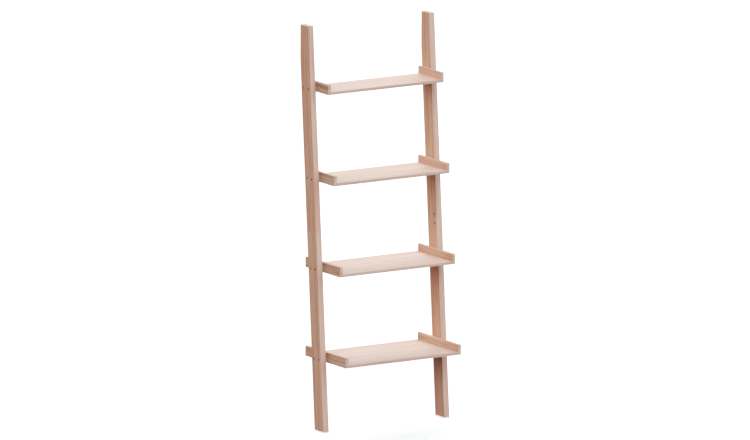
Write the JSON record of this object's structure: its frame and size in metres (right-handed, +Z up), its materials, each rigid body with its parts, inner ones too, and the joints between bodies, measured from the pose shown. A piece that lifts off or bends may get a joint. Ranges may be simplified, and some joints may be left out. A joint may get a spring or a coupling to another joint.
{
  "type": "ladder shelf",
  "caption": "Leaning wooden ladder shelf: two slanted rails carry open shelves with raised side boards, deeper toward the floor, backs in the wall plane.",
  "frame": {"origin": "on the floor, at the middle of the object's bounding box", "axes": "+Z up, +X to the right as seen from the front, -Y toward the front, +Y toward the wall, which is the plane Y = +0.170 m"},
  "size_m": [0.656, 0.34, 1.8],
  "materials": {
    "rail_wood": "bare pale wood, planed and sanded, fine straight grain, eased edges",
    "side_wood": "bare pale wood, planed and sanded, grain along the board",
    "panel_wood": "bare pale wood, sanded flat, grain along the shelf",
    "dowel_beech": "turned beech",
    "bolt_steel": "burnished bronze-coloured steel, satin",
    "insert_brass": "turned brass",
    "cam_zinc": "die-cast zinc with a dull bronze-coloured film",
    "bracket_zinc": "zinc-plated sheet steel, grey",
    "screw_steel": "zinc-plated steel, grey"
  },
  "bodies": {
    "root": {"bottom_shelf_dowels": "dowel_beech", "bottom_shelf_left_bolts": "bolt_steel", "bottom_shelf_left_insert_nuts": "insert_brass", "bottom_shelf_left_side": "side_wood", "bottom_shelf_panel": "panel_wood", "bottom_shelf_right_bolts": "bolt_steel", "bottom_shelf_right_insert_nuts": "insert_brass", "bottom_shelf_right_side": "side_wood", "left_rail_cam_bolt": "bolt_steel", "left_rail_cam_locks": "cam_zinc", "left_rail_dowel": "dowel_beech", "left_rail_lower": "rail_wood", "left_rail_upper": "rail_wood", "left_wall_bracket": "bracket_zinc", "left_wall_bracket_screws": "screw_steel", "lower_shelf_dowels": "dowel_beech", "lower_shelf_left_bolts": "bolt_steel", "lower_shelf_left_insert_nuts": "insert_brass", "lower_shelf_left_side": "side_wood", "lower_shelf_panel": "panel_wood", "lower_shelf_right_bolts": "bolt_steel", "lower_shelf_right_insert_nuts": "insert_brass", "lower_shelf_right_side": "side_wood", "right_rail_cam_bolt": "bolt_steel", "right_rail_cam_locks": "cam_zinc", "right_rail_dowel": "dowel_beech", "right_rail_lower": "rail_wood", "right_rail_upper": "rail_wood", "right_wall_bracket": "bracket_zinc", "right_wall_bracket_screws": "screw_steel", "top_shelf_dowels": "dowel_beech", "top_shelf_left_bolts": "bolt_steel", "top_shelf_left_insert_nuts": "insert_brass", "top_shelf_left_side": "side_wood", "top_shelf_panel": "panel_wood", "top_shelf_right_bolts": "bolt_steel", "top_shelf_right_insert_nuts": "insert_brass", "top_shelf_right_side": "side_wood", "upper_shelf_dowels": "dowel_beech", "upper_shelf_left_bolts": "bolt_steel", "upper_shelf_left_insert_nuts": "insert_brass", "upper_shelf_left_side": "side_wood", "upper_shelf_panel": "panel_wood", "upper_shelf_right_bolts": "bolt_steel", "upper_shelf_right_insert_nuts": "insert_brass", "upper_shelf_right_side": "side_wood"}
  },
  "joints": []
}
